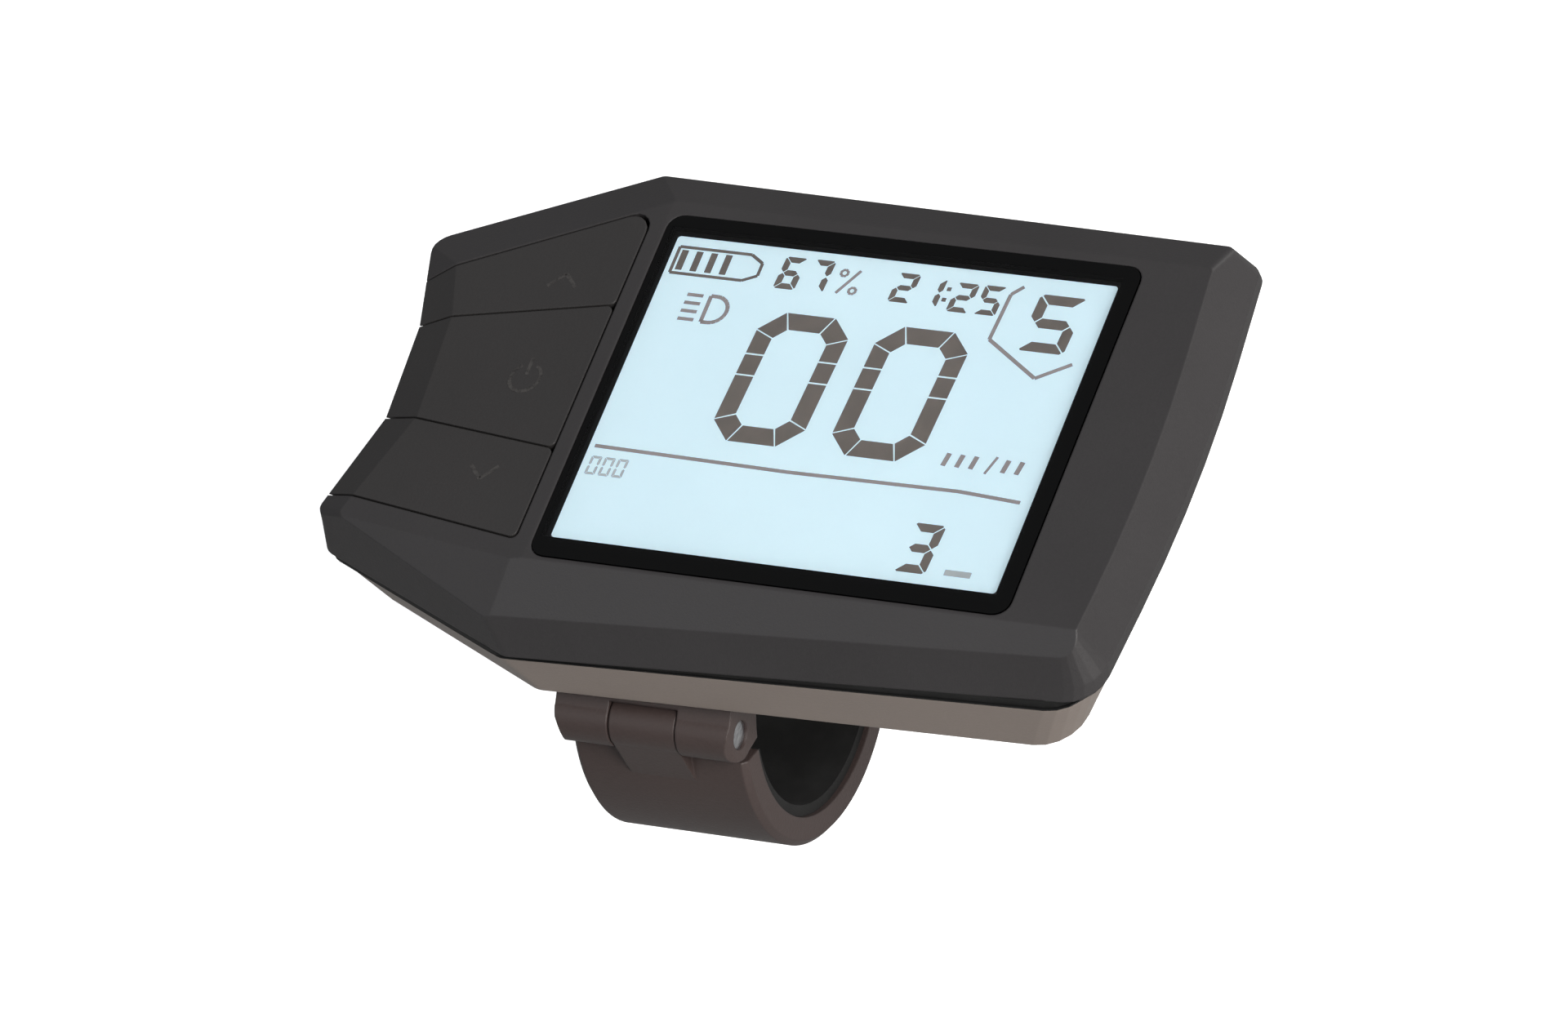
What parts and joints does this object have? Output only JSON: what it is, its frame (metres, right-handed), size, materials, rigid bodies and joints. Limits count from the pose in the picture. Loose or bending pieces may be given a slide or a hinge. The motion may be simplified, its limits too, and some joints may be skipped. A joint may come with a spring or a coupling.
{
  "type": "handlebar display",
  "caption": "Compact handlebar display with a flush screen, a faceted wing of push keys and a hinged, rubber-lined band clamp for a bicycle bar.",
  "frame": {"origin": "centre of the clamp bore, on the bar's axis and midway along the clamp", "axes": "+X along the bar towards the right of the screen, +Y away from the rider, +Z square out of the screen"},
  "size_m": [0.077, 0.0506, 0.0407],
  "materials": {
    "front_plastic": "fine satin texture",
    "rear_plastic": "fine satin texture",
    "lens_glass": "gloss",
    "screen": "gloss",
    "black_foam": "matt",
    "clear_plastic": "gloss",
    "white_plastic": "satin",
    "lamp": "gloss",
    "amber_film": "gloss",
    "connector_plastic": "satin",
    "board_green": "satin",
    "chip_black": "matt",
    "part_brown": "satin",
    "switch_black": "satin",
    "plunger_plastic": "satin",
    "key_plastic": "fine satin texture",
    "soft_rubber": "matt",
    "steel": "satin",
    "brass": "machined",
    "clamp_plastic": "fine satin texture"
  },
  "bodies": {
    "head": {"front_shell": "front_plastic", "display_lens": "lens_glass", "lens_tape": "black_foam", "lcd_panel": "screen", "panel_gasket": "black_foam", "light_guide": "clear_plastic", "backlight_tray": "white_plastic", "backlight_leds": "lamp", "lcd_flex": "amber_film", "flex_connector": "connector_plastic", "circuit_board": "board_green", "controller_chip": "chip_black", "board_parts": "part_brown", "lead_connector": "connector_plastic", "tact_switches": "switch_black", "key_seal": "soft_rubber", "housing_seal": "soft_rubber", "board_screws": "steel", "rear_shell": "rear_plastic", "shell_screws": "steel", "cable_gland": "soft_rubber", "clamp_base": "clamp_plastic", "base_screws": "steel", "threaded_insert": "brass", "hinge_pin": "steel", "saddle_liner": "soft_rubber"},
    "key_up": {"key_up": "key_plastic", "switch_plunger_up": "plunger_plastic"},
    "key_power": {"key_power": "key_plastic", "switch_plunger_power": "plunger_plastic"},
    "key_down": {"key_down": "key_plastic", "switch_plunger_down": "plunger_plastic"},
    "band": {"clamp_band": "clamp_plastic", "band_liner": "soft_rubber"},
    "screw": {"clamp_screw": "steel", "clamp_washer": "steel"}
  },
  "joints": [
    {"name": "key_up_press", "type": "slide", "parent": "head", "child": "key_up", "axis": [0, 0, -1], "range_m": [0, 0.0005], "stiffness_N_per_m": 4000},
    {"name": "key_power_press", "type": "slide", "parent": "head", "child": "key_power", "axis": [0, 0, -1], "range_m": [0, 0.0005], "stiffness_N_per_m": 4000},
    {"name": "key_down_press", "type": "slide", "parent": "head", "child": "key_down", "axis": [0, 0, -1], "range_m": [0, 0.0005], "stiffness_N_per_m": 4000},
    {"name": "band_hinge", "type": "hinge", "parent": "head", "child": "band", "pos_m": [0, -0.01226, 0.0089], "axis": [-1, 0, 0], "range_deg": [0, 100]},
    {"name": "clamp_screw_travel", "type": "slide", "parent": "band", "child": "screw", "axis": [0, 0, -1], "range_m": [0, 0.0065]}
  ]
}
